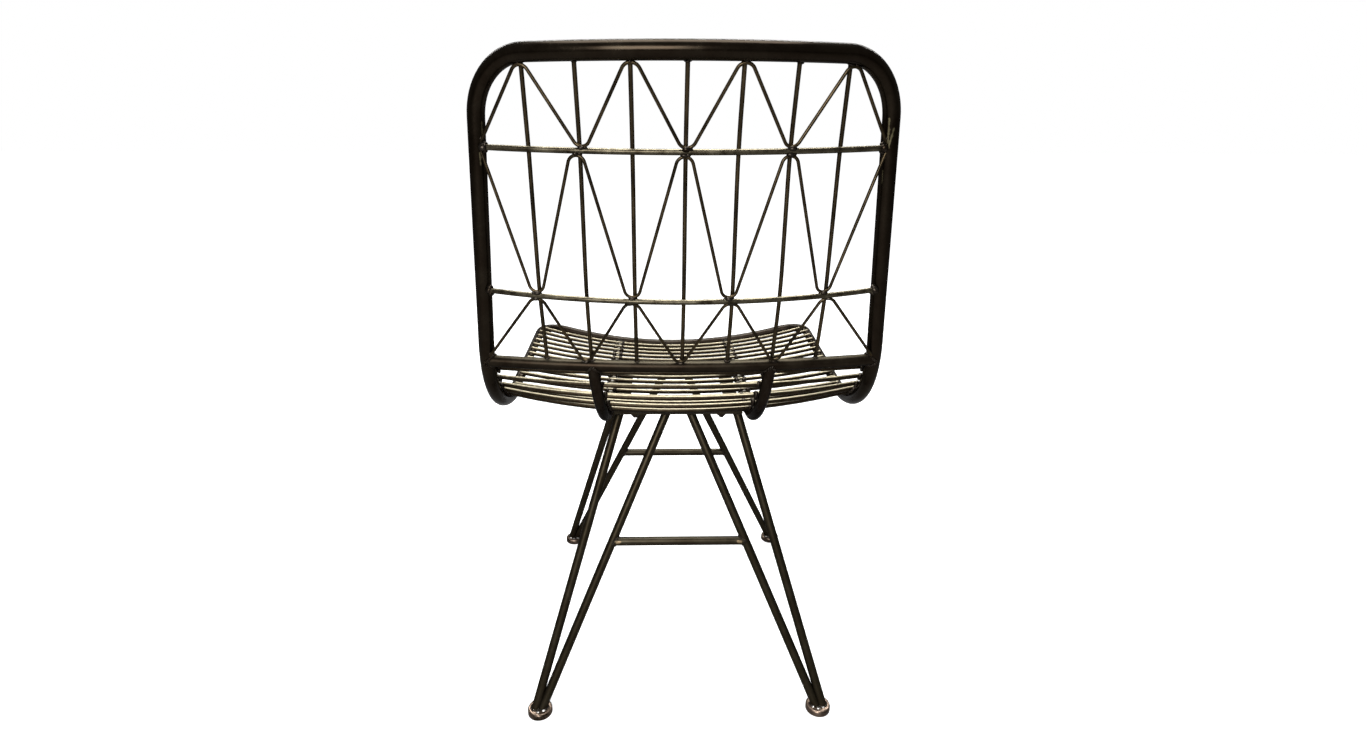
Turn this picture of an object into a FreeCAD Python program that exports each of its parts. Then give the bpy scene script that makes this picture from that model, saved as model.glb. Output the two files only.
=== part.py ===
import FreeCAD, Part
import math
import os

os.makedirs("parts", exist_ok=True)

Vector = FreeCAD.Vector
LEFT, RIGHT = 1, -1
FRONT, REAR = -1, 1

# Stock, in millimetres
hoop_diameter = 18.0
hoop_wall = 1.5
frame_diameter = 14.0
frame_wall = 1.5
leg_diameter = 12.0
leg_wall = 1.2
rod_diameter = 6.0
upright_diameter = 4.5
zigzag_diameter = 3.5
bar_width = 20.0
bar_thickness = 4.0
# How far a welded piece is pressed into the one it lies on
weld_bite = 0.35

# Back: a plane leaning rearward, measured from the middle of the lower back tube
lean = 7.79
back_foot = Vector(0, 174.34, 492.63)
side_half_width = 229.13
side_taper = 0.07325
top_height = 327.9
top_bow = 46.2
top_crown = 4.52
top_corner_radius = 64.0
lower_tube_bow = 18.6
upper_rod_height = 242.5
upper_rod_bow = 30.4
lower_rod_height = 89.9
lower_rod_bow = 39.0
rod_offset = 7.0
upright_count = 7
upright_pitch = 52.28
upright_bend_radius = 250.0
upright_forward = 2.2
zigzag_rearward = 1.5
# Hand-bent zigzags: radii of the bends above and below, and each bend's shift from its upright
zigzag_radii = {"upper": (9.2, 9.2), "middle": (8.7, 8.5), "lower": (10.2, 7.5)}
zigzag_shifts = {
    "upper": (1.5, -3.2, -0.2, -1.0, -1.0, 0.2, -4.2),
    "middle": (2.0, 3.8, 2.7, 0.3, 5.0, -0.8, 5.0),
    "lower": (2.0, 6.0, 3.7, 2.5, 1.5, -2.7, -1.0),
}

# Side tubes curl forward under the seat
curl_height = 400.46
curl_radius = 128.4
curl_rise = 0.04
curl_inward = 0.0472
plug_length = 6.0

# Seat frame and the two supports under the seat rods
frame_corner = Vector(229.3, -230.22, 429.55)
frame_corner_radius = 41.3
frame_dip = 62.1
support_top_x = 103.5
support_bottom_x = 94.2
support_height = 396.3
support_bend_radius = 94.0

# Seat rods, counted from the front edge up to the highest one under the back
seat_rod_count = 21
side_pitch = 19.0
side_top_station = 145.0
support_pitch = 21.07
support_top_station = 12.5
tip_inset = 6.5
tip_rise = 8.6
rail_tip_inset = 3.0

# Leg base
base_offset = -0.84
leg_top_height = 393.35
leg_top_y = 81.3
outer_top_x = 78.27
inner_top_x = 13.8
foot_x = 189.9
foot_y = 210.7
foot_pair_half = 4.63
leg_end_height = 10.6
foot_diameter = 33.0
foot_height = 9.0
foot_shoulder = 2.8
foot_chamfer = 1.0
cross_bar_height = 221.66
mount_underside = 387.5
mount_half_width = 86.7
mount_y = 80.0
bolt_x = 59.0
bolt_diameter = 6.0
bolt_head_diameter = 11.0
bolt_head_height = 3.4
bolt_tail = 2.6
nut_across_flats = 10.0
nut_height = 5.0

lean_angle = math.radians(lean)
back_up = Vector(0, math.sin(lean_angle), math.cos(lean_angle))
back_rear = Vector(0, math.cos(lean_angle), -math.sin(lean_angle))


def back_point(x, height, rearward):
    """Point on the leaning back from its own three measures."""
    return back_foot + Vector(x, 0, 0) + back_up * height + back_rear * rearward


def side_x(height):
    """Half the distance between the side tubes at a height on the back."""
    return side_half_width - side_taper * height


def arc_bow(x, half_span, bow):
    """Rise of a circular arc at x, when it spans twice half_span and rises by bow."""
    radius = (half_span ** 2 + bow ** 2) / (2 * bow)
    return math.sqrt(radius ** 2 - x ** 2) - (radius - bow)


def mirrored(point):
    return Vector(-point.x, point.y, point.z)


def turn_at(before, corner, after):
    """Angle through which a path turns at a corner, in radians."""
    return (corner - before).getAngle(after - corner)


def bent_path(points, radii):
    """Wire of straight runs joined by tangent arcs, one radius for each inner point."""
    edges = []
    start = points[0]
    for before, corner, after, radius in zip(points, points[1:], points[2:], radii):
        incoming = (before - corner).normalize()
        outgoing = (after - corner).normalize()
        half_turn = turn_at(before, corner, after) / 2
        reach = radius * math.tan(half_turn)
        arc_start = corner + incoming * reach
        arc_end = corner + outgoing * reach
        inward = (incoming + outgoing).normalize()
        middle = corner + inward * radius * (1 / math.cos(half_turn) - 1)
        if (arc_start - start).Length > 0.01:
            edges.append(Part.LineSegment(start, arc_start).toShape())
        edges.append(Part.Arc(arc_start, middle, arc_end).toShape())
        start = arc_end
    if (points[-1] - start).Length > 0.01:
        edges.append(Part.LineSegment(start, points[-1]).toShape())
    return Part.Wire(edges)


def filling_radius(before, corner, after, used):
    """Radius of the arc that leaves only the length used by the next bend."""
    return ((corner - before).Length - used) / math.tan(turn_at(before, corner, after) / 2)


def swept(path, diameter):
    """Round bar along a path."""
    first = path.Edges[0]
    start = path.OrderedVertexes[0].Point
    direction = first.tangentAt(first.FirstParameter)
    profile = Part.Wire(Part.makeCircle(diameter / 2, start, direction))
    return path.makePipeShell([profile], True, True)


def arc_between(left_tip, left_contact):
    """Symmetric arc through both tips that passes the two contact points."""
    drop = Vector(0, left_contact.y - left_tip.y, left_contact.z - left_tip.z)
    depth = drop.Length
    drop.normalize()
    centre = (left_contact.x ** 2 + depth ** 2 - left_tip.x ** 2) / (2 * depth)
    lowest = centre + math.hypot(left_tip.x, centre)
    middle = Vector(0, left_tip.y, left_tip.z) + drop * lowest
    return Part.Wire(Part.Arc(left_tip, middle, mirrored(left_tip)).toShape())


def station(edges, distance):
    """Point and direction at a distance along a chain of edges."""
    for edge in edges:
        if distance <= edge.Length:
            break
        distance -= edge.Length
    parameter = edge.getParameterByLength(distance)
    return edge.valueAt(parameter), edge.tangentAt(parameter)


def seat_side(direction):
    """Unit vector square to a seat member, on the side where the sitter is."""
    along = Vector(direction).normalize()
    facing = Vector(1, 0, 0).cross(along).normalize()
    if facing.z - facing.y < 0:
        facing = facing * -1
    return facing


# Back hoop: curl, side, rounded corner and bowed top, mirrored to the other side
curl_top = (curl_height - back_foot.z) / math.cos(lean_angle)
curl_corner = back_point(side_x(curl_top), curl_top, 0)
curl_forward = Vector(-curl_inward, -1, curl_rise).normalize()
top_corner = back_point(side_x(top_height), top_height, 0)
top_apex = back_point(0, top_height + 2 * top_crown, 1.96 * top_bow)
curl_reach = curl_radius * math.tan(turn_at(curl_corner + curl_forward, curl_corner, top_corner) / 2)
curl_end = curl_corner + curl_forward * (curl_reach + plug_length)
corner_reach = top_corner_radius * math.tan(turn_at(curl_corner, top_corner, top_apex) / 2)
apex_radius = filling_radius(top_corner, top_apex, mirrored(top_corner), corner_reach)
left_points = [curl_end, curl_corner, top_corner]
hoop_points = left_points + [top_apex] + [mirrored(point) for point in reversed(left_points)]
hoop_radii = [curl_radius, top_corner_radius, apex_radius, top_corner_radius, curl_radius]
hoop_path = bent_path(hoop_points, hoop_radii)
hoop_bar = swept(hoop_path, hoop_diameter)
hoop = hoop_bar.cut(swept(hoop_path, hoop_diameter - 2 * hoop_wall))
for end, inward in ((curl_end, curl_forward * -1), (mirrored(curl_end), mirrored(curl_forward * -1))):
    hoop = hoop.fuse(Part.makeCylinder(hoop_diameter / 2, plug_length, end, inward))
hoop = hoop.removeSplitter()


def crossing(edges, x):
    """Point of a chain of edges at a distance x from the middle plane."""
    for edge in edges:
        low, high = edge.FirstParameter, edge.LastParameter
        if (edge.valueAt(low).x - x) * (edge.valueAt(high).x - x) <= 0:
            break
    falling = edge.valueAt(low).x > edge.valueAt(high).x
    for halving in range(40):
        middle = (low + high) / 2
        if (edge.valueAt(middle).x > x) == falling:
            low = middle
        else:
            high = middle
    return edge.valueAt((low + high) / 2)


def top_tube(x):
    """Height and rearward offset of the top tube's centre line."""
    point = crossing(hoop_path.Edges[3:6], x) - back_foot
    return point.dot(back_up), point.dot(back_rear)


# Seat frame: two rails rising to the front, rounded corners and a dipped front tube
front_middle = Vector(0, frame_corner.y, frame_corner.z - frame_dip)
frame_reach = frame_corner_radius * math.tan(turn_at(curl_end, frame_corner, front_middle) / 2)
dip_radius = filling_radius(frame_corner, front_middle, mirrored(frame_corner), frame_reach)
frame_points = [curl_end, frame_corner, front_middle, mirrored(frame_corner), mirrored(curl_end)]
frame_path = bent_path(frame_points, [frame_corner_radius, dip_radius, frame_corner_radius])
frame_bar = swept(frame_path, frame_diameter).cut(hoop_bar)
seat_frame = frame_bar.cut(swept(frame_path, frame_diameter - 2 * frame_wall))

# Lower back tube, bowed like the back and welded between the side tubes
tube_end = back_point(side_half_width, 0, 0)
tube_middle = back_point(0, 0, lower_tube_bow)
lower_path = Part.Wire(Part.Arc(tube_end, tube_middle, mirrored(tube_end)).toShape())
lower_bar = swept(lower_path, frame_diameter).cut(hoop_bar)
lower_back_tube = lower_bar.cut(swept(lower_path, frame_diameter - 2 * frame_wall))

# Supports: down from the lower back tube, round the bend and forward to the front tube
support_top = back_point(support_top_x, 0, arc_bow(support_top_x, side_half_width, lower_tube_bow))
support_corner = Vector(support_bottom_x, support_top.y - 3.0, support_height)
support_front = Vector(support_bottom_x, frame_corner.y, support_height)
support_path = bent_path([support_top, support_corner, support_front], [support_bend_radius])
support_bar = swept(support_path, frame_diameter).cut(lower_bar).cut(frame_bar)
support_bore = swept(support_path, frame_diameter - 2 * frame_wall)
seat_support = support_bar.cut(support_bore)

# Seat rods, each one arc that lies on both rails or curls and on both supports
rail_run = Part.LineSegment(curl_end, frame_corner).toShape()
hoop_run = [edge for edge in hoop_path.Edges[:3]]
support_run = support_path.Edges
rod_radius = rod_diameter / 2
seat_rods = []
for index in range(seat_rod_count):
    from_top = seat_rod_count - 1 - index
    up_the_curl = side_top_station - side_pitch * from_top + plug_length
    if up_the_curl > 0:
        member, direction = station(hoop_run, up_the_curl)
        tip = member + seat_side(direction) * tip_rise - Vector(tip_inset, 0, 0)
    else:
        member, direction = station([rail_run], -up_the_curl)
        lift = math.sqrt((frame_diameter / 2 + rod_radius - weld_bite) ** 2 - rail_tip_inset ** 2)
        tip = member + seat_side(direction) * lift - Vector(rail_tip_inset, 0, 0)
    beneath, direction = station(support_run, support_top_station + support_pitch * from_top)
    contact = beneath + seat_side(direction) * (frame_diameter / 2 + rod_radius - weld_bite)
    rod = swept(arc_between(tip, contact), rod_diameter)
    for neighbour in (hoop_bar, frame_bar, support_bar, support_bar.mirror(Vector(0, 0, 0), Vector(1, 0, 0))):
        rod = rod.cut(neighbour)
    seat_rods.append(rod)

# Two bowed rods across the back, on the rear of the side tubes
back_rods = {}
rod_levels = {"upper": (upper_rod_height, upper_rod_bow), "lower": (lower_rod_height, lower_rod_bow)}
for name, (height, bow) in rod_levels.items():
    end = back_point(side_x(height) - 6.0, height, rod_offset)
    path = Part.Wire(Part.Arc(end, back_point(0, height, rod_offset + bow), mirrored(end)).toShape())
    back_rods[name] = swept(path, rod_diameter).cut(hoop_bar)


def rod_rearward(name, x):
    """Rearward offset of a back rod's centre line."""
    height, bow = rod_levels[name]
    return rod_offset + arc_bow(x, side_x(height) - 6.0, bow)


def lower_tube_rearward(x):
    return arc_bow(x, side_half_width, lower_tube_bow)


# Uprights: four points in a vertical plane, bent gently where they pass the back rods
uprights = []
clear_of_rod = (rod_diameter + upright_diameter) / 2 - weld_bite
for number in range(upright_count):
    x = ((upright_count - 1) / 2 - number) * upright_pitch
    top_level, top_rearward = top_tube(x)
    wanted = [
        back_point(x, top_level, top_rearward - upright_forward),
        back_point(x, upper_rod_height, rod_rearward("upper", x) - clear_of_rod),
        back_point(x, lower_rod_height, rod_rearward("lower", x) - clear_of_rod),
        back_point(x, 0, lower_tube_rearward(x) - upright_forward),
    ]
    controls = list(wanted)
    for bend in (1, 2):
        half_turn = turn_at(wanted[bend - 1], wanted[bend], wanted[bend + 1]) / 2
        cut_short = upright_bend_radius * (1 / math.cos(half_turn) - 1)
        outward = wanted[bend] - (wanted[bend - 1] + wanted[bend + 1]) / 2
        controls[bend] = wanted[bend] + back_rear * math.copysign(cut_short, outward.dot(back_rear))
    wire = swept(bent_path(controls, [upright_bend_radius] * 2), upright_diameter)
    for neighbour in (hoop_bar, lower_bar, back_rods["upper"], back_rods["lower"]):
        wire = wire.cut(neighbour)
    uprights.append(wire)

# Zigzag wires: bends touch the member above and the member below in turn
rod_touch = (rod_diameter + zigzag_diameter) / 2 - weld_bite
hoop_touch = (hoop_diameter + zigzag_diameter) / 2 - weld_bite
tube_touch = (frame_diameter + zigzag_diameter) / 2 - weld_bite


def under_top_tube(x):
    level, rearward = top_tube(x)
    return level - math.sqrt(hoop_touch ** 2 - zigzag_rearward ** 2), rearward + zigzag_rearward


def over_upper_rod(x):
    return upper_rod_height + rod_touch, rod_rearward("upper", x)


def under_upper_rod(x):
    return upper_rod_height - rod_touch, rod_rearward("upper", x)


def over_lower_rod(x):
    return lower_rod_height + rod_touch, rod_rearward("lower", x)


def under_lower_rod(x):
    return lower_rod_height - rod_touch, rod_rearward("lower", x)


def over_lower_tube(x):
    offset = math.sqrt(tube_touch ** 2 - zigzag_rearward ** 2)
    return offset, lower_tube_rearward(x) + zigzag_rearward


def zigzag(name, above, below, ends_below):
    """Wire that runs from side tube to side tube with a bend at every upright."""
    high_radius, low_radius = zigzag_radii[name]
    touches = []
    radii = []
    ways = []
    for number, shift in enumerate(zigzag_shifts[name]):
        x = ((upright_count - 1) / 2 - number) * upright_pitch + shift
        at_top = (number % 2 == 0) == ends_below
        level, rearward = (above if at_top else below)(x)
        touches.append(back_point(x, level, rearward))
        radii.append(high_radius if at_top else low_radius)
        ways.append(1 if at_top else -1)
    end_level = (below if ends_below else above)(side_x(0) - 5.0)[0]
    end = back_point(side_x(end_level) - 5.0, end_level, rod_offset - 1.0)
    corners = [end] + touches + [mirrored(end)]
    for settling in range(12):
        runs = zip(corners, corners[1:], corners[2:], touches, radii, ways)
        settled = []
        for before, corner, after, touch, radius, way in runs:
            overshoot = radius * (1 / math.cos(turn_at(before, corner, after) / 2) - 1)
            settled.append(touch + back_up * way * overshoot)
        corners = [end] + settled + [mirrored(end)]
    wire = swept(bent_path(corners, radii), zigzag_diameter)
    for neighbour in [hoop_bar, lower_bar, back_rods["upper"], back_rods["lower"]] + uprights:
        wire = wire.cut(neighbour)
    return wire


zigzags = {
    "upper": zigzag("upper", under_top_tube, over_upper_rod, True),
    "middle": zigzag("middle", under_upper_rod, over_lower_rod, False),
    "lower": zigzag("lower", under_lower_rod, over_lower_tube, True),
}

# Feet: turned pucks with a small chamfer below and a rounded shoulder on top
foot_radius = foot_diameter / 2
flat_radius = foot_radius - foot_shoulder
shoulder_height = foot_height - foot_shoulder
shoulder_reach = foot_shoulder * math.sqrt(0.5)
foot_outline = [
    Part.LineSegment(Vector(0, 0, 0), Vector(foot_radius - foot_chamfer, 0, 0)).toShape(),
    Part.LineSegment(Vector(foot_radius - foot_chamfer, 0, 0), Vector(foot_radius, 0, foot_chamfer)).toShape(),
    Part.LineSegment(Vector(foot_radius, 0, foot_chamfer), Vector(foot_radius, 0, shoulder_height)).toShape(),
    Part.Arc(
        Vector(foot_radius, 0, shoulder_height),
        Vector(flat_radius + shoulder_reach, 0, shoulder_height + shoulder_reach),
        Vector(flat_radius, 0, foot_height),
    ).toShape(),
    Part.LineSegment(Vector(flat_radius, 0, foot_height), Vector(0, 0, foot_height)).toShape(),
    Part.LineSegment(Vector(0, 0, foot_height), Vector(0, 0, 0)).toShape(),
]
foot_shape = Part.Face(Part.Wire(foot_outline)).revolve(Vector(0, 0, 0), Vector(0, 0, 1), 360)
sides = {"left": LEFT, "right": RIGHT}
ends = {"front": FRONT, "rear": REAR}
feet = {}
for end_name, end in ends.items():
    for side_name, side in sides.items():
        centre = Vector(side * foot_x, end * foot_y + base_offset, 0)
        feet[end_name, side_name] = foot_shape.translated(centre)

# Legs: two straight tubes meet on every foot and spread to the mount above
legs = {}
leg_bars = {}
inner_lines = {}
above_mount = Part.makeBox(400, 400, 100, Vector(-200, -200, mount_underside))
for end_name, end in ends.items():
    for side_name, side in sides.items():
        for place, top_x, step in (("outer", outer_top_x, foot_pair_half), ("inner", inner_top_x, -foot_pair_half)):
            top = Vector(side * top_x, end * leg_top_y + base_offset, leg_top_height)
            bottom = Vector(side * (foot_x + step), end * foot_y + base_offset, leg_end_height)
            downward = (bottom - top).normalize()
            length = (bottom - top).Length * leg_top_height / (leg_top_height - leg_end_height)
            bar = Part.makeCylinder(leg_diameter / 2, length, top, downward)
            bar = bar.cut(above_mount).cut(feet[end_name, side_name])
            below_foot = Part.makeBox(80, 80, 40, feet[end_name, side_name].CenterOfMass - Vector(40, 40, 40))
            bar = bar.cut(below_foot)
            bore = Part.makeCylinder(leg_diameter / 2 - leg_wall, length, top, downward)
            leg_bars[end_name, side_name, place] = bar
            legs[end_name, side_name, place] = bar.cut(bore)
            if place == "inner":
                inner_lines[end_name, side_name] = (top, downward)
for end_name in ends:
    for side_name in sides:
        pieces = legs[end_name, side_name, "outer"].cut(leg_bars[end_name, side_name, "inner"]).Solids
        legs[end_name, side_name, "outer"] = max(pieces, key=lambda piece: piece.Volume)

# Cross bars between the inner legs, one at the front and one at the rear
cross_bars = {}
for end_name in ends:
    centres = []
    for side_name in sides:
        top, downward = inner_lines[end_name, side_name]
        centres.append(top + downward * ((cross_bar_height - top.z) / downward.z))
    across = centres[1] - centres[0]
    bar = Part.makeCylinder(leg_diameter / 2, across.Length, centres[0], across)
    bore = Part.makeCylinder(leg_diameter / 2 - leg_wall, across.Length, centres[0], across)
    for side_name in sides:
        bar = bar.cut(leg_bars[end_name, side_name, "inner"])
    cross_bars[end_name] = bar.cut(bore)

# Mount: flat bar rectangle on the legs, and two flat bars between the supports above it
seat_bar_underside = mount_underside + bar_thickness
inner_half_width = mount_half_width - bar_width
bolt_places = [(side * bolt_x, end * mount_y + base_offset) for side in (LEFT, RIGHT) for end in (FRONT, REAR)]


def flat_bar(width, depth, centre_x, centre_y, underside):
    corner = Vector(centre_x - width / 2, centre_y - depth / 2, underside)
    bar = Part.makeBox(width, depth, bar_thickness, corner)
    for x, y in bolt_places:
        bar = bar.cut(Part.makeCylinder(bolt_diameter / 2 + 0.2, bar_thickness, Vector(x, y, underside)))
    return bar


mount_length = 2 * mount_y + bar_width
mount_sides = {}
for side_name, side in sides.items():
    centre = side * (mount_half_width - bar_width / 2)
    mount_sides[side_name] = flat_bar(bar_width, mount_length, centre, base_offset, mount_underside)
mount_bars = {}
seat_bars = {}
mirrored_support = support_bar.mirror(Vector(0, 0, 0), Vector(1, 0, 0))
for end_name, end in ends.items():
    centre = end * mount_y + base_offset
    mount_bars[end_name] = flat_bar(2 * inner_half_width, bar_width, 0, centre, mount_underside)
    seat_bar = flat_bar(2 * support_bottom_x, bar_width, 0, centre, seat_bar_underside)
    seat_bars[end_name] = seat_bar.cut(support_bar).cut(mirrored_support)

# Four bolts from above with their nuts below
bolts = []
nuts = []
stem_bottom = mount_underside - nut_height - bolt_tail
head_underside = seat_bar_underside + bar_thickness
hexagon_radius = nut_across_flats / math.sqrt(3)
for x, y in bolt_places:
    stem = Part.makeCylinder(bolt_diameter / 2, head_underside - stem_bottom, Vector(x, y, stem_bottom))
    head = Part.makeCylinder(bolt_head_diameter / 2, bolt_head_height, Vector(x, y, head_underside))
    head = head.makeFillet(1.6, [edge for edge in head.Edges if edge.CenterOfMass.z > head_underside + 3])
    bolts.append(stem.fuse(head).removeSplitter())
    ring = []
    for step in range(7):
        angle = math.radians(60 * step)
        ring.append(Vector(x + hexagon_radius * math.cos(angle), y + hexagon_radius * math.sin(angle), 0))
    hexagon = Part.Face(Part.makePolygon(ring)).extrude(Vector(0, 0, nut_height))
    hexagon.translate(Vector(0, 0, mount_underside - nut_height))
    nuts.append(hexagon.cut(stem))

# Every piece under its own name
nodes = {"back_hoop": hoop, "seat_frame": seat_frame, "lower_back_tube": lower_back_tube}
nodes["seat_support_left"] = seat_support
nodes["seat_support_right"] = seat_support.mirror(Vector(0, 0, 0), Vector(1, 0, 0))
for name, rod in back_rods.items():
    nodes[name + "_back_rod"] = rod
for number, wire in enumerate(uprights, 1):
    nodes["upright_%d" % number] = wire
for name, wire in zigzags.items():
    nodes["zigzag_" + name] = wire
for number, rod in enumerate(seat_rods, 1):
    nodes["seat_rod_%02d" % number] = rod
for (end_name, side_name), foot in feet.items():
    nodes["foot_%s_%s" % (end_name, side_name)] = foot
for (end_name, side_name, place), leg in legs.items():
    nodes["leg_%s_%s_%s" % (end_name, side_name, place)] = leg
for name in ends:
    nodes["cross_bar_" + name] = cross_bars[name]
    nodes["mount_bar_" + name] = mount_bars[name]
    nodes["seat_bar_" + name] = seat_bars[name]
for name in sides:
    nodes["mount_side_" + name] = mount_sides[name]
nodes["mount_bolts"] = Part.makeCompound(bolts)
nodes["mount_nuts"] = Part.makeCompound(nuts)

# The origin is on the floor under the middle of the whole chair
box = Part.makeCompound([hoop, seat_frame] + list(feet.values())).optimalBoundingBox(False)
shift = Vector(0, -(box.YMin + box.YMax) / 2, 0)
for name, shape in nodes.items():
    shape.translate(shift)
    shape.exportStep("parts/%s.step" % name)
    solids = len(shape.Solids)
    print("%-24s solids %d valid %s volume %.0f" % (name, solids, shape.isValid(), shape.Volume))
print("origin shift", shift, "box", box)
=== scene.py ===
import math
import random

import bmesh
import bpy
from mathutils import Matrix, Vector, noise
from mathutils.bvhtree import BVHTree


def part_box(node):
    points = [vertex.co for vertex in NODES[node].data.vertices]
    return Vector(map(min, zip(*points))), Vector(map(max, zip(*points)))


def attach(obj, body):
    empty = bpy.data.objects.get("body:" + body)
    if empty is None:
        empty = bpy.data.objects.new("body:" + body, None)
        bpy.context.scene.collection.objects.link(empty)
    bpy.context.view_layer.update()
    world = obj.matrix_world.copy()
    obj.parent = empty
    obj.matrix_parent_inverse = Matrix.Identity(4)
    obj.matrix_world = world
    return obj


bl_info = {
    "name": "Wire Mesh Chair",
    "version": (1, 0, 0),
    "blender": (4, 5, 0),
    "location": "View3D > Sidebar > Chair",
    "description": "Finishes, welds and stages a bronzed wire mesh chair",
    "category": "Object",
}

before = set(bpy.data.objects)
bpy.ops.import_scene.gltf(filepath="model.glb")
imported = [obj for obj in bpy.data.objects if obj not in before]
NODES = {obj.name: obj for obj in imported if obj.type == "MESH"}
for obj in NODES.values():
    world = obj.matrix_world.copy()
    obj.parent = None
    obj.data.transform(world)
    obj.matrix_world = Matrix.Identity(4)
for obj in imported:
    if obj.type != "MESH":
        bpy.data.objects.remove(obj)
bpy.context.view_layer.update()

# Which pieces take which finish
ROD_NODES = sorted(n for n in NODES if n.startswith("seat_rod"))
UPRIGHT_NODES = sorted(n for n in NODES if n.startswith("upright"))
ZIGZAG_NODES = sorted(n for n in NODES if n.startswith("zigzag"))
BACK_ROD_NODES = ["upper_back_rod", "lower_back_rod"]
SUPPORT_NODES = ["seat_support_left", "seat_support_right"]
LEG_NODES = sorted(n for n in NODES if n.startswith("leg"))
CROSS_BAR_NODES = ["cross_bar_front", "cross_bar_rear"]
FOOT_NODES = sorted(n for n in NODES if n.startswith("foot"))
MOUNT_NODES = sorted(n for n in NODES if n.startswith(("mount_bar", "mount_side", "seat_bar")))
FASTENER_NODES = ["mount_bolts", "mount_nuts"]

# Two surfaces nearer than this are taken to touch
TOUCH = 0.0002

# Measures of the beads, in metres. Stretches are along the weld, across it and out of the surface.
ROD_RADIUS = 0.003
END_INWARD = 0.002
TIP_OUTWARD = 0.0015
TIP_RISE = 0.0022
CORNER_ASIDE = 0.0056
CORNER_RISE = 0.0022
CROSSING_RISE = 0.0006
END_STRETCH = (1.3, 1.0, 0.8)
TIP_STRETCH = (0.8, 1.1, 0.8)
CORNER_STRETCH = (0.75, 1.3, 0.9)
CROSSING_STRETCH = (1.25, 0.8, 0.75)
SPOT_STRETCH = (1.4, 1.0, 0.6)
KNOT_INSET = 0.0025
KNOT_RISE = 0.0028
PICTURE_WIDTH = 1367
PICTURE_HEIGHT = 750
SENSOR_WIDTH = 36.0


class ChairFinish(bpy.types.PropertyGroup):
    """Colours and wear of the bronzed metal"""

    # The colours below that pieces are rubbed to are also the colours of the painted top highlight, which
    # lightens upward faces as if lit from above.
    tube_dark: bpy.props.FloatVectorProperty(
        name="Tube dark", description="Deepest colour of the tubes", subtype="COLOR",
        size=3, default=(0.014, 0.009, 0.0052), min=0, max=1)
    tube_grey: bpy.props.FloatVectorProperty(
        name="Tube grey", description="Rubbed olive grey of the tubes", subtype="COLOR",
        size=3, default=(0.075, 0.065, 0.045), min=0, max=1)
    rail_grey: bpy.props.FloatVectorProperty(
        name="Rail grey", description="Lighter grey that the seat frame and supports are rubbed to",
        subtype="COLOR",
        size=3, default=(0.15, 0.135, 0.115), min=0, max=1)
    leg_olive: bpy.props.FloatVectorProperty(
        name="Leg olive", description="Deepest colour of the legs, bars and back wires", subtype="COLOR",
        size=3, default=(0.024, 0.018, 0.010), min=0, max=1)
    wire_dark: bpy.props.FloatVectorProperty(
        name="Wire dark", description="Deepest colour of the rods and wires", subtype="COLOR",
        size=3, default=(0.022, 0.015, 0.008), min=0, max=1)
    wire_olive: bpy.props.FloatVectorProperty(
        name="Wire olive", description="Rubbed olive brown of the back wires", subtype="COLOR",
        size=3, default=(0.12, 0.085, 0.045), min=0, max=1)
    # Mostly a painted highlight: this pale brass lightens the tops of the rods as light from above would, and
    # also colours their few rubbed patches.
    rod_brass_highlight: bpy.props.FloatVectorProperty(
        name="Rod brass", description="Pale brass that the tops of the rods are rubbed to", subtype="COLOR",
        size=3, default=(0.45, 0.40, 0.28), min=0, max=1)
    foot_brown: bpy.props.FloatVectorProperty(
        name="Foot brown", description="Polished brown of the feet", subtype="COLOR",
        size=3, default=(0.34, 0.25, 0.19), min=0, max=1)
    weld_grey: bpy.props.FloatVectorProperty(
        name="Weld grey", description="Colour of the bare weld beads", subtype="COLOR",
        size=3, default=(0.30, 0.285, 0.26), min=0, max=1)
    burn_tan: bpy.props.FloatVectorProperty(
        name="Burn tan", description="Colour of the patches burnt beside the welds of the legs",
        subtype="COLOR",
        size=3, default=(0.24, 0.175, 0.10), min=0, max=1)
    scratch_olive: bpy.props.FloatVectorProperty(
        name="Scratch olive", description="Colour of the scratches on the side tubes", subtype="COLOR",
        size=3, default=(0.20, 0.175, 0.10), min=0, max=1)
    mottle_size: bpy.props.FloatProperty(
        name="Mottle size", description="How many patches of patina there are in a metre",
        default=34.0, min=1, max=400)
    wear: bpy.props.FloatProperty(
        name="Wear", description="How much of the patina is rubbed through",
        subtype="FACTOR", default=0.5, min=0, max=1)


class ChairWelds(bpy.types.PropertyGroup):
    """Sizes of the weld beads"""

    rod_bead: bpy.props.FloatProperty(
        name="Rod bead", description="Radius of the bead where a seat rod meets a tube",
        unit="LENGTH", default=0.0034, min=0.001, max=0.02)
    wire_bead: bpy.props.FloatProperty(
        name="Wire bead", description="Radius of the bead where a wire meets a rod",
        unit="LENGTH", default=0.0027, min=0.001, max=0.02)
    knot: bpy.props.FloatProperty(
        name="Knot", description="Radius of the lump where a back rod and two wires meet the side tube",
        unit="LENGTH", default=0.0044, min=0.001, max=0.02)
    collar_bead: bpy.props.FloatProperty(
        name="Collar bead", description="Radius of the beads that run round a tube's end",
        unit="LENGTH", default=0.0017, min=0.0005, max=0.01)
    seed: bpy.props.IntProperty(
        name="Seed", description="Changes the lumps of the beads", default=11, min=0)


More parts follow.
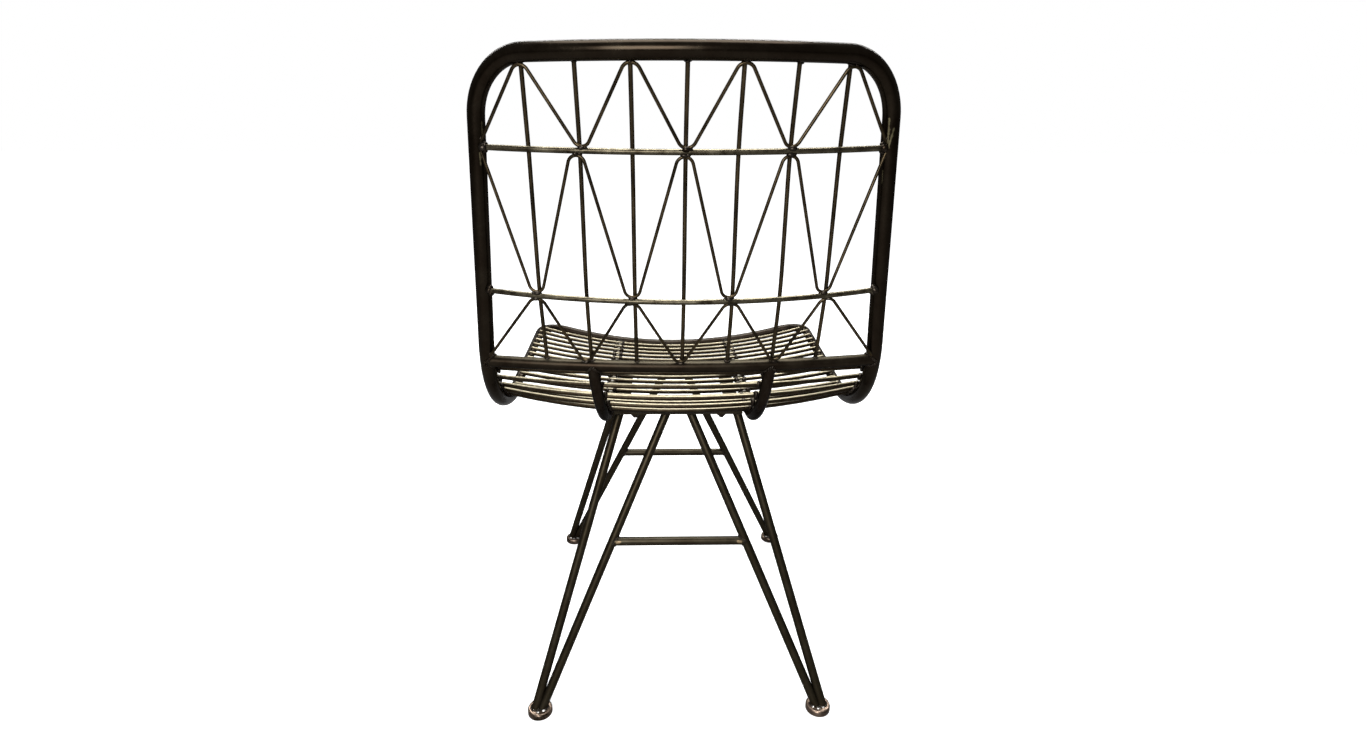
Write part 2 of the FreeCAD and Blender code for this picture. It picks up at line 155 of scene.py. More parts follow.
class ChairStage(bpy.types.PropertyGroup):
    """Camera and light of the picture"""

    eye: bpy.props.FloatVectorProperty(
        name="Eye", description="Place of the camera", subtype="TRANSLATION", unit="LENGTH",
        size=3, default=(0.02862, 0.9192, 0.73934))
    pitch: bpy.props.FloatProperty(
        name="Pitch", description="How far the camera looks down", subtype="ANGLE",
        default=math.radians(18.883))
    turn: bpy.props.FloatProperty(
        name="Turn", description="How far the camera is turned from straight ahead", subtype="ANGLE",
        default=math.radians(-1.137))
    roll: bpy.props.FloatProperty(
        name="Roll", description="How far the camera is tipped sideways", subtype="ANGLE",
        default=math.radians(0.168))
    focal_pixels: bpy.props.FloatProperty(
        name="Focal pixels", description="Focal length in pixels of a picture 1367 wide", default=680.5)
    centre_pixels: bpy.props.FloatVectorProperty(
        name="Centre pixels", description="Where the lens axis meets the picture", size=2,
        default=(670.09, 372.49))


# Materials

def value_of(colour):
    return (*colour, 1.0)


class Nodes:
    """Short way to place and join nodes in one tree."""

    def __init__(self, tree):
        self.tree = tree
        self.across = 0

    def add(self, kind, **settings):
        made = self.tree.nodes.new(kind)
        made.location = (self.across, 0)
        self.across += 180
        for key, value in settings.items():
            setattr(made, key, value)
        return made

    def join(self, start, end):
        self.tree.links.new(start, end)

    def noise(self, coordinates, scale, detail=4.0, roughness=0.55, distortion=0.0):
        made = self.add("ShaderNodeTexNoise")
        made.inputs["Detail"].default_value = detail
        made.inputs["Roughness"].default_value = roughness
        made.inputs["Distortion"].default_value = distortion
        self.join(coordinates, made.inputs["Vector"])
        if hasattr(scale, "is_output"):
            self.join(scale, made.inputs["Scale"])
        else:
            made.inputs["Scale"].default_value = scale
        return made.outputs["Fac"]

    def spread(self, value, low, high, to_low=0.0, to_high=1.0):
        made = self.add("ShaderNodeMapRange")
        self.join(value, made.inputs["Value"])
        for name, number in (("From Min", low), ("From Max", high), ("To Min", to_low), ("To Max", to_high)):
            made.inputs[name].default_value = number
        return made.outputs["Result"]

    def vectors(self, operation, first, second):
        made = self.add("ShaderNodeVectorMath", operation=operation)
        self.join(first, made.inputs[0])
        if second is not None:
            self.join(second, made.inputs[1])
        return made.outputs["Value" if operation in ("DOT_PRODUCT", "LENGTH") else "Vector"]

    def maths(self, operation, first, second):
        made = self.add("ShaderNodeMath", operation=operation)
        for socket, value in zip(made.inputs, (first, second)):
            if hasattr(value, "is_output"):
                self.join(value, socket)
            else:
                socket.default_value = value
        return made.outputs[0]

    def mix(self, factor, first, second, blend="MIX"):
        made = self.add("ShaderNodeMix", data_type="RGBA", blend_type=blend)
        for socket, value in zip((made.inputs[0], made.inputs[6], made.inputs[7]), (factor, first, second)):
            if hasattr(value, "is_output"):
                self.join(value, socket)
            else:
                socket.default_value = value
        return made.outputs[2]


def open_group(name, wanted, given):
    """New shader node group with its sockets."""
    tree = bpy.data.node_groups.new(name, "ShaderNodeTree")
    for label, kind in wanted:
        tree.interface.new_socket(label, in_out="INPUT", socket_type="NodeSocket" + kind)
    for label, kind in given:
        tree.interface.new_socket(label, in_out="OUTPUT", socket_type="NodeSocket" + kind)
    return tree


def patina_group():
    """Shared patina: dark metal, rubbed through in patches and in specks, with a painted highlight that
    lightens upward faces as if lit from above.
    """
    name = "Rubbed patina"
    if name in bpy.data.node_groups:
        return bpy.data.node_groups[name]
    wanted = (("Dark", "Color"), ("Rubbed", "Color"), ("Patches", "Float"), ("Wear", "Float"),
              ("Top highlight", "Float"), ("Gloss", "Float"))
    tree = open_group(name, wanted, (("Color", "Color"), ("Roughness", "Float"), ("Height", "Float")))
    make = Nodes(tree)
    given = make.add("NodeGroupInput").outputs
    place = make.add("ShaderNodeTexCoord").outputs["Object"]
    facing = make.add("ShaderNodeSeparateXYZ")
    make.join(make.add("ShaderNodeNewGeometry").outputs["Normal"], facing.inputs[0])
    broad = make.noise(place, given["Patches"], 5.0, 0.6, 0.4)
    fine = make.noise(place, 420.0, 3.0, 0.6)
    grit = make.noise(place, 1500.0, 2.0, 0.5)
    patches = make.spread(broad, 0.36, 0.70)
    specks = make.spread(fine, 0.50, 0.74)
    # Painted highlight: faces that point up are mixed towards the Rubbed colour, standing in for light
    # falling from above.
    tilt = make.maths("ADD", facing.outputs["Z"], make.spread(fine, 0.3, 0.7, -0.06, 0.06))
    upward = make.spread(tilt, 0.6, 0.95)
    top = make.maths("MULTIPLY", upward, given["Top highlight"])
    # Mix factor: rubbed-through patches, the painted top highlight and specks.
    rubbed = make.maths("MULTIPLY", patches, given["Wear"])
    rubbed = make.maths("ADD", rubbed, make.maths("MULTIPLY", top, make.spread(broad, 0.2, 0.7, 0.6, 1.0)))
    rubbed = make.maths("ADD", rubbed, make.maths("MULTIPLY", specks, 0.05))
    rubbed = make.maths("MINIMUM", rubbed, 1.0)
    colour = make.mix(rubbed, given["Dark"], given["Rubbed"])
    grime = make.spread(make.noise(place, 95.0, 6.0, 0.7, 1.2), 0.35, 0.72, 0.84, 1.06)
    shade = make.add("ShaderNodeCombineColor")
    for socket in shade.inputs[:3]:
        make.join(grime, socket)
    colour = make.mix(1.0, colour, shade.outputs[0], "MULTIPLY")
    rough = make.spread(make.maths("ADD", broad, make.maths("MULTIPLY", fine, 0.5)), 0.4, 1.1, 0.0, 0.16)
    rough = make.maths("ADD", rough, given["Gloss"])
    height = make.maths("ADD", make.maths("MULTIPLY", fine, 0.6), make.maths("MULTIPLY", grit, 0.4))
    put = make.add("NodeGroupOutput")
    make.join(colour, put.inputs["Color"])
    make.join(rough, put.inputs["Roughness"])
    make.join(height, put.inputs["Height"])
    return tree


def mark_group():
    """Shared mask of one scratch or burn: a soft streak between two points of the chair."""
    name = "Streak mark"
    if name in bpy.data.node_groups:
        return bpy.data.node_groups[name]
    tree = open_group(name, (("From", "Vector"), ("To", "Vector"), ("Width", "Float")), (("Mask", "Float"),))
    make = Nodes(tree)
    given = make.add("NodeGroupInput").outputs
    place = make.add("ShaderNodeTexCoord").outputs["Object"]
    run = make.vectors("SUBTRACT", given["To"], given["From"])
    offset = make.vectors("SUBTRACT", place, given["From"])
    along = make.vectors("DOT_PRODUCT", offset, run)
    share = make.maths("DIVIDE", along, make.vectors("DOT_PRODUCT", run, run))
    share = make.spread(share, 0.0, 1.0)
    nearest = make.add("ShaderNodeVectorMath", operation="SCALE")
    make.join(run, nearest.inputs[0])
    make.join(share, nearest.inputs["Scale"])
    gap = make.vectors("LENGTH", make.vectors("SUBTRACT", offset, nearest.outputs[0]), None)
    ragged = make.maths("MULTIPLY", gap, make.spread(make.noise(place, 300.0, 3.0), 0.3, 0.7, 0.6, 1.7))
    nearness = make.maths("DIVIDE", ragged, given["Width"])
    mask = make.spread(nearness, 0.35, 1.0, 1.0, 0.0)
    put = make.add("NodeGroupOutput")
    make.join(mask, put.inputs["Mask"])
    return tree


def metal(name, dark, rubbed, patches, wear, top_highlight, gloss, metallic, bump, edge=0.6, marks=(),
          mark_colour=None):
    """One finish made from the shared patina, with any marks on it."""
    made = bpy.data.materials.new(name)
    made.use_nodes = True
    make = Nodes(made.node_tree)
    shader = made.node_tree.nodes["Principled BSDF"]
    patina = make.add("ShaderNodeGroup", node_tree=patina_group())
    patina.inputs["Dark"].default_value = value_of(dark)
    patina.inputs["Rubbed"].default_value = value_of(rubbed)
    patina.inputs["Patches"].default_value = patches
    patina.inputs["Wear"].default_value = wear
    # Strength of the painted highlight that lightens upward faces as if lit from above.
    patina.inputs["Top highlight"].default_value = top_highlight
    patina.inputs["Gloss"].default_value = gloss
    colour = patina.outputs["Color"]
    for start, end, width in marks:
        streak = make.add("ShaderNodeGroup", node_tree=mark_group())
        streak.inputs["From"].default_value = start
        streak.inputs["To"].default_value = end
        streak.inputs["Width"].default_value = width
        colour = make.mix(streak.outputs["Mask"], colour, value_of(mark_colour))
    relief = make.add("ShaderNodeBump")
    relief.inputs["Strength"].default_value = bump
    relief.inputs["Distance"].default_value = 0.0004
    make.join(patina.outputs["Height"], relief.inputs["Height"])
    make.join(colour, shader.inputs["Base Color"])
    make.join(patina.outputs["Roughness"], shader.inputs["Roughness"])
    make.join(relief.outputs["Normal"], shader.inputs["Normal"])
    shader.inputs["Metallic"].default_value = metallic
    shader.inputs["Specular Tint"].default_value = (edge, edge, edge, 1)
    return made


def dress(names, material):
    for name in names:
        mesh = NODES[name].data
        mesh.materials.clear()
        mesh.materials.append(material)


def scratches():
    """Scratches on the rear of the side tubes, as start, end and width."""
    rear_left = Vector((0.2030, 0.1930, 0.7560))
    rear_right = Vector((-0.2050, 0.1955, 0.7600))
    return (
        (rear_left, rear_left + Vector((0.0010, -0.0015, -0.0140)), 0.0010),
        (rear_left + Vector((0.0048, -0.0018, -0.0300)),
         rear_left + Vector((0.0055, -0.0042, -0.0420)), 0.0012),
        (rear_right, rear_right + Vector((-0.0016, -0.0028, -0.0230)), 0.0013),
        (rear_right + Vector((-0.0056, 0, -0.0095)),
         rear_right + Vector((-0.0028, -0.0030, -0.0275)), 0.0013),
        (rear_right + Vector((-0.0012, -0.0084, -0.0500)),
         rear_right + Vector((-0.0020, -0.0100, -0.0630)), 0.0009),
    )


def bar_burns():
    """Burns at both ends of the rear cross bar, on its outer and upper side."""
    low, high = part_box("cross_bar_rear")
    middle = (low[2] + high[2]) / 2 + 0.001
    burns = []
    for side, end in ((1, high[0] - 0.0065), (-1, low[0] + 0.0065)):
        start = Vector((end, high[1] - 0.0004, middle))
        stop = Vector((end - side * 0.0045, high[1] - 0.0002, middle + 0.001))
        burns.append((start, stop, 0.0026))
    return burns


def leg_burns():
    """Burns near the tops of the inner rear legs."""
    return (
        (Vector((0.0218, 0.0690, 0.3820)), Vector((0.0240, 0.0715, 0.3760)), 0.0016),
        (Vector((-0.0210, 0.0690, 0.3820)), Vector((-0.0228, 0.0710, 0.3770)), 0.0013),
    )


class CHAIR_OT_finish(bpy.types.Operator):
    """Give every frame piece its aged metal finish, with a painted highlight on its upward faces"""

    bl_idname = "chair.finish"
    bl_label = "Finish the Metal"

    def execute(self, context):
        look = context.scene.chair_finish
        size = look.mottle_size
        # The top highlight value of each finish sets how strongly its upward faces are painted light, as if
        # lit from above.
        hoop = metal("Hoop gunmetal", look.tube_dark, look.tube_grey, size, wear=0.25 * look.wear,
                     top_highlight=0.12, gloss=0.15, metallic=0.9, bump=0.05, edge=0.55, marks=scratches(),
                     mark_colour=look.scratch_olive)
        low_tube = metal("Back tube gunmetal", look.tube_dark, look.tube_grey, size, wear=0.4 * look.wear,
                         top_highlight=0.8, gloss=0.3, metallic=0.85, bump=0.1, edge=0.3)
        rail = metal("Rubbed rail", look.tube_dark, look.rail_grey, size, wear=0.2 * look.wear,
                     top_highlight=0.35, gloss=0.34, metallic=0.85, bump=0.15, edge=0.3)
        support = metal("Rubbed support", look.tube_dark, look.rail_grey, 4 * size, wear=0.1 * look.wear,
                        top_highlight=0.7, gloss=0.26, metallic=0.85, bump=0.3, edge=0.3)
        leg = metal("Leg gunmetal", look.leg_olive, look.tube_grey, size, wear=0.5 * look.wear, top_highlight=0.3,
                    gloss=0.3, metallic=0.85, bump=0.12, edge=0.25, marks=leg_burns(),
                    mark_colour=look.burn_tan)
        bar = metal("Cross bar gunmetal", look.leg_olive, look.tube_grey, size, wear=look.wear, top_highlight=0.7,
                    gloss=0.32, metallic=0.85, bump=0.12, edge=0.3, marks=bar_burns(),
                    mark_colour=look.burn_tan)
        rod = metal("Brass rubbed rod", look.wire_dark, look.rod_brass_highlight, 2 * size, wear=0.04 * look.wear,
                    top_highlight=0.95, gloss=0.26, metallic=0.85, bump=0.15, edge=0.3)
        back_rod = metal("Olive brass rod", look.leg_olive, look.rod_brass_highlight, 2 * size, wear=0.45 * look.wear,
                         top_highlight=0.85, gloss=0.26, metallic=0.85, bump=0.15, edge=0.3)
        wire = metal("Olive wire", look.leg_olive, look.wire_olive, size, wear=1.1 * look.wear, top_highlight=0.7,
                     gloss=0.24, metallic=0.85, bump=0.1, edge=0.3)
        foot = metal("Polished foot", look.tube_dark, look.foot_brown, size, wear=1.6 * look.wear,
                     top_highlight=0.6, gloss=0.22, metallic=0.95, bump=0.05, edge=0.6)
        dark = metal("Blackened fastener", look.tube_dark, look.tube_grey, 2 * size, wear=0.2, top_highlight=0.2,
                     gloss=0.3, metallic=0.8, bump=0.2)
        metal("Bare weld", look.weld_grey, (0.75, 0.73, 0.7), 3 * size, wear=1.4 * look.wear, top_highlight=0.6,
              gloss=0.2, metallic=0.9, bump=0.2, edge=0.8)
        metal("Dark weld", look.tube_dark, look.rail_grey, 3 * size, wear=0.5 * look.wear, top_highlight=0.35,
              gloss=0.22, metallic=0.9, bump=0.3, edge=0.3)
        metal("Grey weld", look.tube_grey, look.weld_grey, 3 * size, wear=0.6 * look.wear, top_highlight=0.4,
              gloss=0.3, metallic=0.85, bump=0.3, edge=0.3)
        dress(["back_hoop"], hoop)
        dress(["lower_back_tube"], low_tube)
        dress(["seat_frame"], rail)
        dress(SUPPORT_NODES, support)
        dress(LEG_NODES, leg)
        dress(CROSS_BAR_NODES + MOUNT_NODES, bar)
        dress(ROD_NODES, rod)
        dress(BACK_ROD_NODES, back_rod)
        dress(UPRIGHT_NODES + ZIGZAG_NODES, wire)
        dress(FOOT_NODES, foot)
        dress(FASTENER_NODES, dark)
        return {"FINISHED"}


# Seams, found where the pieces of the frame touch

TREES = {}


def surface(name):
    """Search tree over a node's faces, built once."""
    if name not in TREES:
        mesh = NODES[name].data
        TREES[name] = BVHTree.FromPolygons([v.co for v in mesh.vertices], [f.vertices for f in mesh.polygons])
    return TREES[name]


class Seam:
    """Patch where a piece lies on the one that carries it."""

    def __init__(self, points, carrier):
        self.points = points
        self.centre = sum(points, Vector()) / len(points)
        self.out = surface(carrier).find_nearest(self.centre)[1].normalized()

    def ring(self, spacing):
        """Points at even distances round the outer edge of the patch."""
        across = self.out.orthogonal().normalized()
        up = self.out.cross(across)
        outer = {}
        for point in self.points:
            offset = point - self.centre
            reach = Vector((offset.dot(across), offset.dot(up)))
            sector = round(math.degrees(math.atan2(reach.y, reach.x)) / 12)
            if sector not in outer or reach.length > outer[sector][0]:
                outer[sector] = (reach.length, point)
        corners = [outer[sector][1] for sector in sorted(outer)]
        walked = 0.0
        placed = []
        for start, end in zip(corners, corners[1:] + corners[:1]):
            side = (end - start).length
            while walked <= side:
                placed.append(start.lerp(end, walked / max(side, 1e-9)))
                walked += spacing
            walked -= side
        return placed


def seams(piece, carrier, spread):
    """The seams of a piece on its carrier. Points nearer than spread belong to one seam."""
    tree = surface(carrier)
    seen = set()
    groups = []
    for vertex in NODES[piece].data.vertices:
        key = tuple(round(value, 5) for value in vertex.co)
        if key in seen:
            continue
        seen.add(key)
        if tree.find_nearest(vertex.co, TOUCH)[0] is None:
            continue
        for group in groups:
            if (group[0] - vertex.co).length < spread:
                group.append(vertex.co.copy())
                break
        else:
            groups.append([vertex.co.copy()])
    return [Seam(points, carrier) for points in groups]


def needed(found, piece, carrier):
    """The seams found, or an error where two pieces don't meet at all."""
    if not found:
        raise RuntimeError("%s doesn't touch %s" % (piece, carrier))
    return found


class BeadTray:
    """Collects weld beads in one mesh and turns it into a piece."""

    def __init__(self, name, finish, seed):
        self.name = name
        self.material = finish
        self.mesh = bmesh.new()
        self.chance = random.Random(seed)

    def blob(self, place, radius, out, along, stretch=(1.0, 1.0, 1.0), fine=True):
        """One lumpy bead. Its own axes are along the weld, across it and out of the surface."""
        size = radius * self.chance.uniform(0.85, 1.15)
        made = bmesh.ops.create_icosphere(self.mesh, subdivisions=3 if fine else 2, radius=size)["verts"]
        shift = Vector([self.chance.uniform(0, 50) for axis in range(3)])
        for vert in made:
            vert.co *= 1 + 0.30 * noise.noise(vert.co * 0.62 / size + shift)
        across = out.cross(along).normalized()
        level = across.cross(out).normalized()
        turn = Matrix((level, across, out)).transposed().to_4x4()
        matrix = Matrix.Translation(place) @ turn @ Matrix.Diagonal((*stretch, 1))
        bmesh.ops.transform(self.mesh, matrix=matrix, verts=made)

    def collar(self, seam, radius):
        """Run of small overlapping beads round the end of a tube."""
        for place in seam.ring(radius * 1.5):
            away = place - seam.centre
            around = seam.out.cross(away)
            if around.length < 1e-6:
                continue
            push = away.normalized() * radius * 0.25
            self.blob(place + push, radius, seam.out, around.normalized(), (1.1, 1.0, 0.9), fine=False)

    def finish(self):
        bmesh.ops.recalc_face_normals(self.mesh, faces=self.mesh.faces)
        data = bpy.data.meshes.new(self.name)
        self.mesh.to_mesh(data)
        self.mesh.free()
        for face in data.polygons:
            face.use_smooth = True
        piece = bpy.data.objects.new(self.name, data)
        bpy.context.scene.collection.objects.link(piece)
        data.materials.append(bpy.data.materials[self.material])
        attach(piece, "root")
        return piece


def section_centre(name, axis, level):
    """Middle of the cut that the plane axis = level makes through a node."""
    mesh = NODES[name].data
    found = []
    for edge in mesh.edges:
        a, b = (mesh.vertices[i].co for i in edge.vertices)
        if (a[axis] - level) * (b[axis] - level) > 0 or a[axis] == b[axis]:
            continue
        found.append(a.lerp(b, (level - a[axis]) / (b[axis] - a[axis])))
    if not found:
        raise RuntimeError("no section of %s at %.3f" % (name, level))
    low = Vector([min(p[i] for p in found) for i in range(3)])
    high = Vector([max(p[i] for p in found) for i in range(3)])
    return (low + high) / 2


ALONG_X = Vector((1, 0, 0))


class CHAIR_OT_weld_seat(bpy.types.Operator):
    """Lay beads where the seat rods end on the rails and cross the supports"""

    bl_idname = "chair.weld_seat"
    bl_label = "Weld the Seat Rods"

    def execute(self, context):
        sizes = context.scene.chair_welds
        ends = BeadTray("seat_rod_end_welds", "Dark weld", sizes.seed)
        crossings = BeadTray("seat_rod_crossing_welds", "Grey weld", sizes.seed + 1)
        corners = BeadTray("seat_rod_corner_welds", "Dark weld", sizes.seed + 5)
        for rod in ROD_NODES:
            touched = 0
            for carrier in ("seat_frame", "back_hoop"):
                for seam in seams(rod, carrier, 0.02):
                    touched += 1
                    inward = Vector((-math.copysign(1, seam.centre.x), 0, 0))
                    for way in (1, -1):
                        beside = seam.out.cross(ALONG_X).normalized() * way * ROD_RADIUS
                        place = seam.centre + beside + inward * END_INWARD
                        ends.blob(place, sizes.rod_bead * 0.8, seam.out, ALONG_X, END_STRETCH)
                    tip = seam.centre - inward * TIP_OUTWARD + seam.out * TIP_RISE
                    ends.blob(tip, sizes.rod_bead * 0.8, seam.out, ALONG_X, TIP_STRETCH)
            for carrier in SUPPORT_NODES:
                for seam in needed(seams(rod, carrier, 0.03), rod, carrier):
                    for way in (1, -1):
                        corner = seam.centre + ALONG_X * way * CORNER_ASIDE + seam.out * CORNER_RISE
                        corners.blob(corner, sizes.rod_bead * 1.35, seam.out, ALONG_X, CORNER_STRETCH)
                        beside = seam.out.cross(ALONG_X).normalized() * way * ROD_RADIUS * 1.15
                        place = seam.centre + beside + seam.out * CROSSING_RISE
                        crossings.blob(place, sizes.rod_bead, seam.out, ALONG_X, CROSSING_STRETCH)
            if touched == 0:
                raise RuntimeError("%s has no end weld" % rod)
        ends.finish()
        crossings.finish()
        corners.finish()
        return {"FINISHED"}


# The rods and the tube that each zigzag's bends lie against
MEETS = {
    "zigzag_upper": ["upper_back_rod"],
    "zigzag_middle": BACK_ROD_NODES,
    "zigzag_lower": ["lower_back_rod", "lower_back_tube"],
}


class CHAIR_OT_weld_back(bpy.types.Operator):
    """Lay beads at the bends of the zigzags and at the ends of the uprights and back rods"""

    bl_idname = "chair.weld_back"
    bl_label = "Weld the Back Wires"

    def execute(self, context):
        sizes = context.scene.chair_welds
        tray = BeadTray("back_wire_welds", "Dark weld", sizes.seed + 2)
        for wire in ZIGZAG_NODES:
            for seam in seams(wire, "back_hoop", 0.025):
                tray.blob(seam.centre, sizes.wire_bead * 0.8, seam.out, ALONG_X, (1.2, 1.0, 0.7))
            for carrier in MEETS[wire]:
                for seam in needed(seams(wire, carrier, 0.025), wire, carrier):
                    rearward = Vector((0, 0.0012, 0))
                    tray.blob(seam.centre + rearward, sizes.wire_bead, seam.out, ALONG_X, (1.5, 1.1, 0.9))
                    nudge = Vector((tray.chance.choice((-0.0035, 0.0035)), 0.0006, 0))
                    tray.blob(seam.centre + nudge, sizes.wire_bead * 0.7, seam.out, ALONG_X, (1.2, 1.0, 0.9))
        for wire in UPRIGHT_NODES:
            for carrier in ("back_hoop", "lower_back_tube"):
                for seam in needed(seams(wire, carrier, 0.02), wire, carrier):
                    tray.blob(seam.centre, sizes.wire_bead * 1.35, seam.out, ALONG_X, (1.05, 1.05, 0.5))
        for rod in BACK_ROD_NODES:
            for side in (1, -1):
                reach = side * (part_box(rod)[1][0] - KNOT_INSET)
                end = section_centre(rod, 0, reach) + Vector((0, 0.0015, 0))
                rearward = Vector((0, 1, 0))
                tray.blob(end, sizes.knot, rearward, Vector((0, 0, 1)), (1.0, 0.95, 0.9))
                for rise in (KNOT_RISE, -KNOT_RISE):
                    lower = end + Vector((side * -0.0015, -0.0020, rise))
                    tray.blob(lower, sizes.knot * 0.75, rearward, Vector((0, 0, 1)))
        tray.finish()
        return {"FINISHED"}


class CHAIR_OT_weld_tubes(bpy.types.Operator):
    """Run beads round the ends of the lower back tube, the seat frame and the supports"""

    bl_idname = "chair.weld_tubes"
    bl_label = "Weld the Tubes"

    def execute(self, context):
        sizes = context.scene.chair_welds
        tray = BeadTray("tube_welds", "Dark weld", sizes.seed + 3)
        joints = [("lower_back_tube", "back_hoop"), ("seat_frame", "back_hoop")]
        for support in SUPPORT_NODES:
            joints += [(support, "lower_back_tube"), (support, "seat_frame")]
        for piece, carrier in joints:
            for seam in needed(seams(piece, carrier, 0.03), piece, carrier):
                tray.collar(seam, sizes.collar_bead)
        tray.finish()
        return {"FINISHED"}


class CHAIR_OT_weld_base(bpy.types.Operator):
    """Run beads round the tops and bottoms of the legs and the ends of the bars"""

    bl_idname = "chair.weld_base"
    bl_label = "Weld the Base"

    def execute(self, context):
        sizes = context.scene.chair_welds
        tray = BeadTray("base_welds", "Dark weld", sizes.seed + 4)
        self.spots(sizes)
        for leg in LEG_NODES:
            foot = "foot_" + leg.split("_", 1)[1].rsplit("_", 1)[0]
            for seam in needed(seams(leg, foot, 0.03), leg, foot):
                tray.collar(seam, sizes.collar_bead * 0.8)
            for carrier in MOUNT_NODES:
                for seam in seams(leg, carrier, 0.03):
                    tray.collar(seam, sizes.collar_bead * 0.8)
        for bar in CROSS_BAR_NODES:
            for leg in LEG_NODES:
                for seam in seams(bar, leg, 0.03):
                    tray.collar(seam, sizes.collar_bead * 0.7)
        for bar in ("seat_bar_front", "seat_bar_rear"):
            for support in SUPPORT_NODES:
                for seam in needed(seams(bar, support, 0.03), bar, support):
                    tray.collar(seam, sizes.collar_bead * 0.8)
        tray.finish()
        return {"FINISHED"}


    def spots(self, sizes):
        """Bare silvery spots on each foot, in front of the legs and beside them."""
        tray = BeadTray("foot_weld_spots", "Bare weld", sizes.seed + 6)
        for foot in FOOT_NODES:
            low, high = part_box(foot)
            middle = Vector(((low[0] + high[0]) / 2, (low[1] + high[1]) / 2, high[2] - 0.0004))
            for across, back in ((-0.009, 0.002), (-0.006, 0.007), (0.001, 0.0095), (0.007, 0.006)):
                place = middle + Vector((across, back, 0))
                tray.blob(place, sizes.wire_bead * 0.8, Vector((0, 0, 1)), ALONG_X, SPOT_STRETCH, fine=False)
        tray.finish()


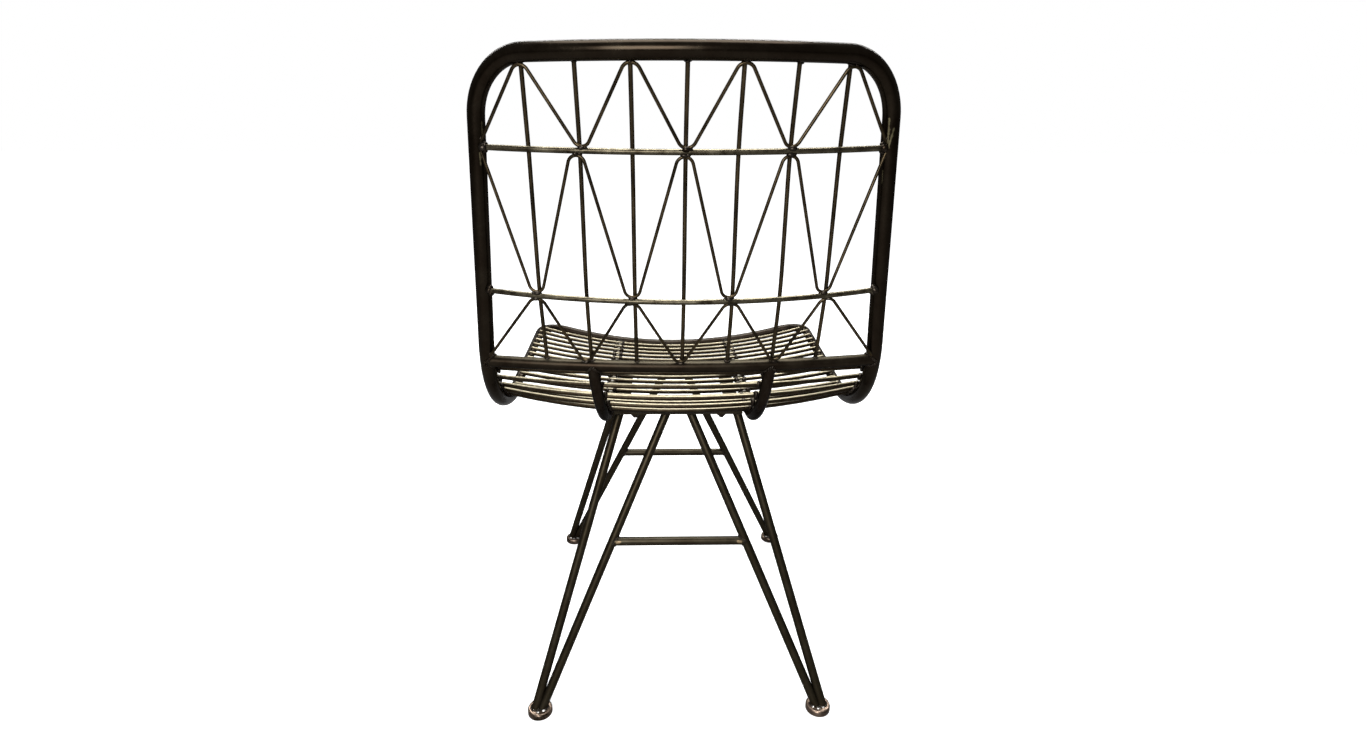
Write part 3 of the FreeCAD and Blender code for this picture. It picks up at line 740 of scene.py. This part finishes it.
class CHAIR_OT_stage(bpy.types.Operator):
    """Set the pale floor, the soft lights and the camera"""

    bl_idname = "chair.stage"
    bl_label = "Set the Stage"

    def execute(self, context):
        scene = context.scene
        self.floor(scene)
        self.lights(scene)
        self.camera(scene)
        return {"FINISHED"}

    def floor(self, scene):
        sheet = bmesh.new()
        bmesh.ops.create_grid(sheet, x_segments=1, y_segments=1, size=40.0)
        data = bpy.data.meshes.new("floor")
        sheet.to_mesh(data)
        sheet.free()
        floor = bpy.data.objects.new("floor", data)
        scene.collection.objects.link(floor)
        pale = bpy.data.materials.new("Pale floor")
        pale.use_nodes = True
        make = Nodes(pale.node_tree)
        shader = pale.node_tree.nodes["Principled BSDF"]
        place = make.add("ShaderNodeTexCoord").outputs["Object"]
        shade = make.mix(make.noise(place, 2.0, 2.0), (0.93, 0.93, 0.93, 1), (0.95, 0.95, 0.945, 1))
        seen = make.add("ShaderNodeLightPath").outputs["Is Camera Ray"]
        make.join(make.mix(seen, (0.35, 0.35, 0.35, 1), shade), shader.inputs["Base Color"])
        shader.inputs["Roughness"].default_value = 0.9
        shader.inputs["Specular IOR Level"].default_value = 0.0
        away = make.spread(make.vectors("LENGTH", place, None), 0.5, 2.5, 0.55, 0.9)
        make.join(make.maths("MULTIPLY", seen, away), shader.inputs["Emission Strength"])
        shader.inputs["Emission Color"].default_value = (1, 1, 1, 1)
        data.materials.append(pale)

    def lights(self, scene):
        world = bpy.data.worlds.new("Studio")
        scene.world = world
        world.use_nodes = True
        make = Nodes(world.node_tree)
        around = world.node_tree.nodes["Background"]
        around.inputs["Color"].default_value = (1, 1, 1, 1)
        seen = make.add("ShaderNodeLightPath").outputs["Is Camera Ray"]
        make.join(make.spread(seen, 0.0, 1.0, 0.22, 1.0), around.inputs["Strength"])
        for name, place, width, depth, power in (
            ("overhead", (0.0, -0.1, 2.4), 1.6, 1.0, 48),
            ("behind the camera", (0.6, 2.6, 1.5), 1.3, 1.3, 80),
            ("far strip", (0.0, -1.6, 2.2), 4.2, 0.12, 50),
        ):
            light = bpy.data.lights.new(name, "AREA")
            light.shape = "RECTANGLE"
            light.size = width
            light.size_y = depth
            light.energy = power
            lamp = bpy.data.objects.new(name, light)
            lamp.location = place
            lamp.rotation_euler = (Vector((0, 0, 0.45)) - Vector(place)).to_track_quat("-Z", "Y").to_euler()
            scene.collection.objects.link(lamp)
        scene.view_settings.view_transform = "Standard"

    def camera(self, scene):
        view = scene.chair_stage
        ahead = Vector((math.sin(view.turn) * math.cos(view.pitch),
                        -math.cos(view.turn) * math.cos(view.pitch), -math.sin(view.pitch)))
        across = ahead.cross(Vector((0, 0, 1))).normalized()
        above = across.cross(ahead)
        right = across * math.cos(view.roll) + above * math.sin(view.roll)
        up = above * math.cos(view.roll) - across * math.sin(view.roll)
        lens = bpy.data.cameras.new("camera")
        lens.sensor_fit = "HORIZONTAL"
        lens.sensor_width = SENSOR_WIDTH
        lens.lens = SENSOR_WIDTH * view.focal_pixels / PICTURE_WIDTH
        lens.shift_x = (PICTURE_WIDTH / 2 - view.centre_pixels[0]) / PICTURE_WIDTH
        lens.shift_y = (view.centre_pixels[1] - PICTURE_HEIGHT / 2) / PICTURE_WIDTH
        lens.clip_start = 0.01
        eye = bpy.data.objects.new("camera", lens)
        turned = Matrix((right, up, -ahead)).transposed().to_4x4()
        eye.matrix_world = Matrix.Translation(view.eye) @ turned
        scene.collection.objects.link(eye)
        scene.camera = eye


OPERATORS = (
    CHAIR_OT_finish,
    CHAIR_OT_weld_seat,
    CHAIR_OT_weld_back,
    CHAIR_OT_weld_tubes,
    CHAIR_OT_weld_base,
    CHAIR_OT_stage,
)


class CHAIR_PT_panel(bpy.types.Panel):
    """Panel that lists the steps of the chair"""

    bl_label = "Chair"
    bl_idname = "CHAIR_PT_panel"
    bl_space_type = "VIEW_3D"
    bl_region_type = "UI"
    bl_category = "Chair"

    def draw(self, context):
        for step in OPERATORS:
            self.layout.operator(step.bl_idname)


CLASSES = (ChairFinish, ChairWelds, ChairStage) + OPERATORS + (CHAIR_PT_panel,)


def register():
    for item in CLASSES:
        bpy.utils.register_class(item)
    bpy.types.Scene.chair_finish = bpy.props.PointerProperty(type=ChairFinish)
    bpy.types.Scene.chair_welds = bpy.props.PointerProperty(type=ChairWelds)
    bpy.types.Scene.chair_stage = bpy.props.PointerProperty(type=ChairStage)


def unregister():
    del bpy.types.Scene.chair_finish
    del bpy.types.Scene.chair_welds
    del bpy.types.Scene.chair_stage
    for item in reversed(CLASSES):
        bpy.utils.unregister_class(item)


def main():
    register()
    bpy.ops.chair.finish()
    bpy.ops.chair.weld_seat()
    bpy.ops.chair.weld_back()
    bpy.ops.chair.weld_tubes()
    bpy.ops.chair.weld_base()
    bpy.ops.chair.stage()


if __name__ == "__main__":
    main()
